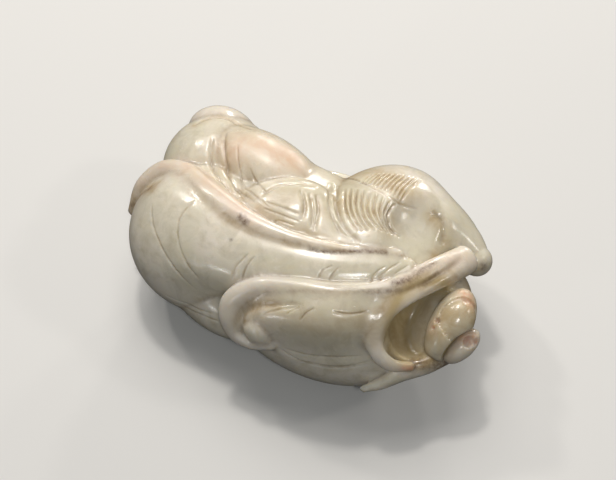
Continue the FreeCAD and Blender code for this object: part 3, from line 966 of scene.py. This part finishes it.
# %% [markdown]
# ## Floor
#
# The carving lies on pale matt paper. The camera sees the paper pale, but the light that
# bounces off it is kept dark, so that the underside of the stone keeps its depth.

# %% Pale paper
BACKDROP = colour("#E0E0DD")
bpy.ops.mesh.primitive_plane_add(size=2.0, location=(0, 0, 0))
floor = bpy.context.object
floor.name = "floor"
paper = bpy.data.materials.new("pale_paper")
paper.use_nodes = True
tree = paper.node_tree
tree.nodes.clear()
in_sight = add(tree, "ShaderNodeLightPath").outputs["Is Camera Ray"]
pale = add(tree, "ShaderNodeMix", {0: in_sight, 6: colour("#575653"), 7: BACKDROP},
           data_type="RGBA").outputs[2]
matt = add(tree, "ShaderNodeBsdfPrincipled",
           {"Base Color": pale, "Roughness": 0.9, "Specular IOR Level": 0.1})
add(tree, "ShaderNodeOutputMaterial", {"Surface": matt.outputs[0]})
floor.data.materials.append(paper)
floor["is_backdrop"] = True
print("floor:", round(floor.dimensions.x, 1), "m of paper")

# %% [markdown]
# ## Light
#
# A polished stone is seen mostly by its highlights. One broad, soft ceiling gives the forms
# their shading, and small windows round it put short, bright highlights on the rims, the
# shoulders and the comb.

# %% Room and windows
AIM = Vector((CENTRING + [0, 0, 13]) * MM)      # the middle of the carving
world = bpy.data.worlds.new("room")
world.use_nodes = True
tree = world.node_tree
tree.nodes.clear()
in_sight = add(tree, "ShaderNodeLightPath").outputs["Is Camera Ray"]
air = add(tree, "ShaderNodeMix", {0: in_sight, 6: colour("#E4E8EC"), 7: BACKDROP},
          data_type="RGBA").outputs[2]
glow = add(tree, "ShaderNodeMapRange", {0: in_sight, 1: 0.0, 2: 1.0, 3: 0.13, 4: 0.8}).outputs[0]
air = add(tree, "ShaderNodeBackground", {"Color": air, "Strength": glow}).outputs[0]
add(tree, "ShaderNodeOutputWorld", {"Surface": air})
bpy.context.scene.world = world

WARM, WHITE = "#FFF9F3", "#FFFFFF"
WINDOWS = {  # direction, distance in m, size in m, watts, tint
    "ceiling": ((-0.30, 0.35, 0.88), 0.7, (0.5, 0.5), 2.25, "#FFFAF6"),
    "top_window": ((-0.28, 0.25, 0.93), 0.5, (0.05, 0.04), 0.6, WARM),
    "left_window": ((-0.69, 0.17, 0.70), 0.5, (0.04, 0.04), 0.34, WARM),
    "back_window": ((-0.38, 0.88, 0.29), 0.5, (0.05, 0.04), 0.4, WARM),
    "far_window": ((-0.06, 0.98, 0.18), 0.5, (0.05, 0.04), 0.4, WARM),
    "right_window": ((0.66, 0.40, 0.64), 0.5, (0.05, 0.04), 0.2, WARM),
    "front_window": ((0.37, -0.43, 0.82), 0.6, (0.06, 0.05), 0.6, WHITE),
    "low_window": ((-0.28, -0.95, 0.22), 0.6, (0.05, 0.05), 0.12, WHITE),
}


def window(name, towards, distance, size, watts, tint):
    """A rectangular light at some distance in a direction, facing the carving."""
    light = bpy.data.lights.new(name, "AREA")
    light.shape = "RECTANGLE"
    light.size, light.size_y = size
    light.energy = watts
    light.color = colour(tint)[:3]
    lamp = bpy.data.objects.new(name, light)
    lamp.location = AIM + Vector(towards).normalized() * distance
    lamp.rotation_euler = (AIM - lamp.location).to_track_quat("-Z", "Y").to_euler()
    bpy.context.scene.collection.objects.link(lamp)


for name, setting in WINDOWS.items():
    window(name, *setting)
print("windows:", len(WINDOWS), "with", round(sum(watts for *_, watts, tint in WINDOWS.values()), 2), "W")

# %% [markdown]
# ## Camera
#
# A long lens, high up and a little towards the cup, shows the leaves, the combs and the
# hollow at once. A small shift of the lens centres the carving without turning the camera.

# %% Camera
AZIMUTH, ELEVATION, DISTANCE = math.radians(33), math.radians(55), 0.240
PICTURE_WIDTH = 616
lens = bpy.data.cameras.new("camera")
lens.lens = 80
lens.sensor_width = 36
lens.clip_start = 0.01
lens.shift_x = -3 / PICTURE_WIDTH
lens.shift_y = 13 / PICTURE_WIDTH
camera = bpy.data.objects.new("camera", lens)
back = Vector((math.sin(AZIMUTH) * math.cos(ELEVATION), -math.cos(AZIMUTH) * math.cos(ELEVATION),
               math.sin(ELEVATION)))
camera.location = AIM + back * DISTANCE
camera.rotation_euler = (math.pi / 2 - ELEVATION, 0, AZIMUTH)
bpy.context.scene.collection.objects.link(camera)
bpy.context.scene.camera = camera
bpy.context.scene.view_settings.view_transform = "Standard"
print("camera at, mm:", [round(place / MM) for place in camera.location])

# %% [markdown]
# ## The size
#
# The box round the carved pieces is printed in millimetres. The carved pieces have to fill
# the same box as the imported solids, to within about 1 mm.

# %% Size
low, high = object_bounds()
print("before finish, mm:", [round((h - l) / MM, 2) for l, h in zip(low, high)])
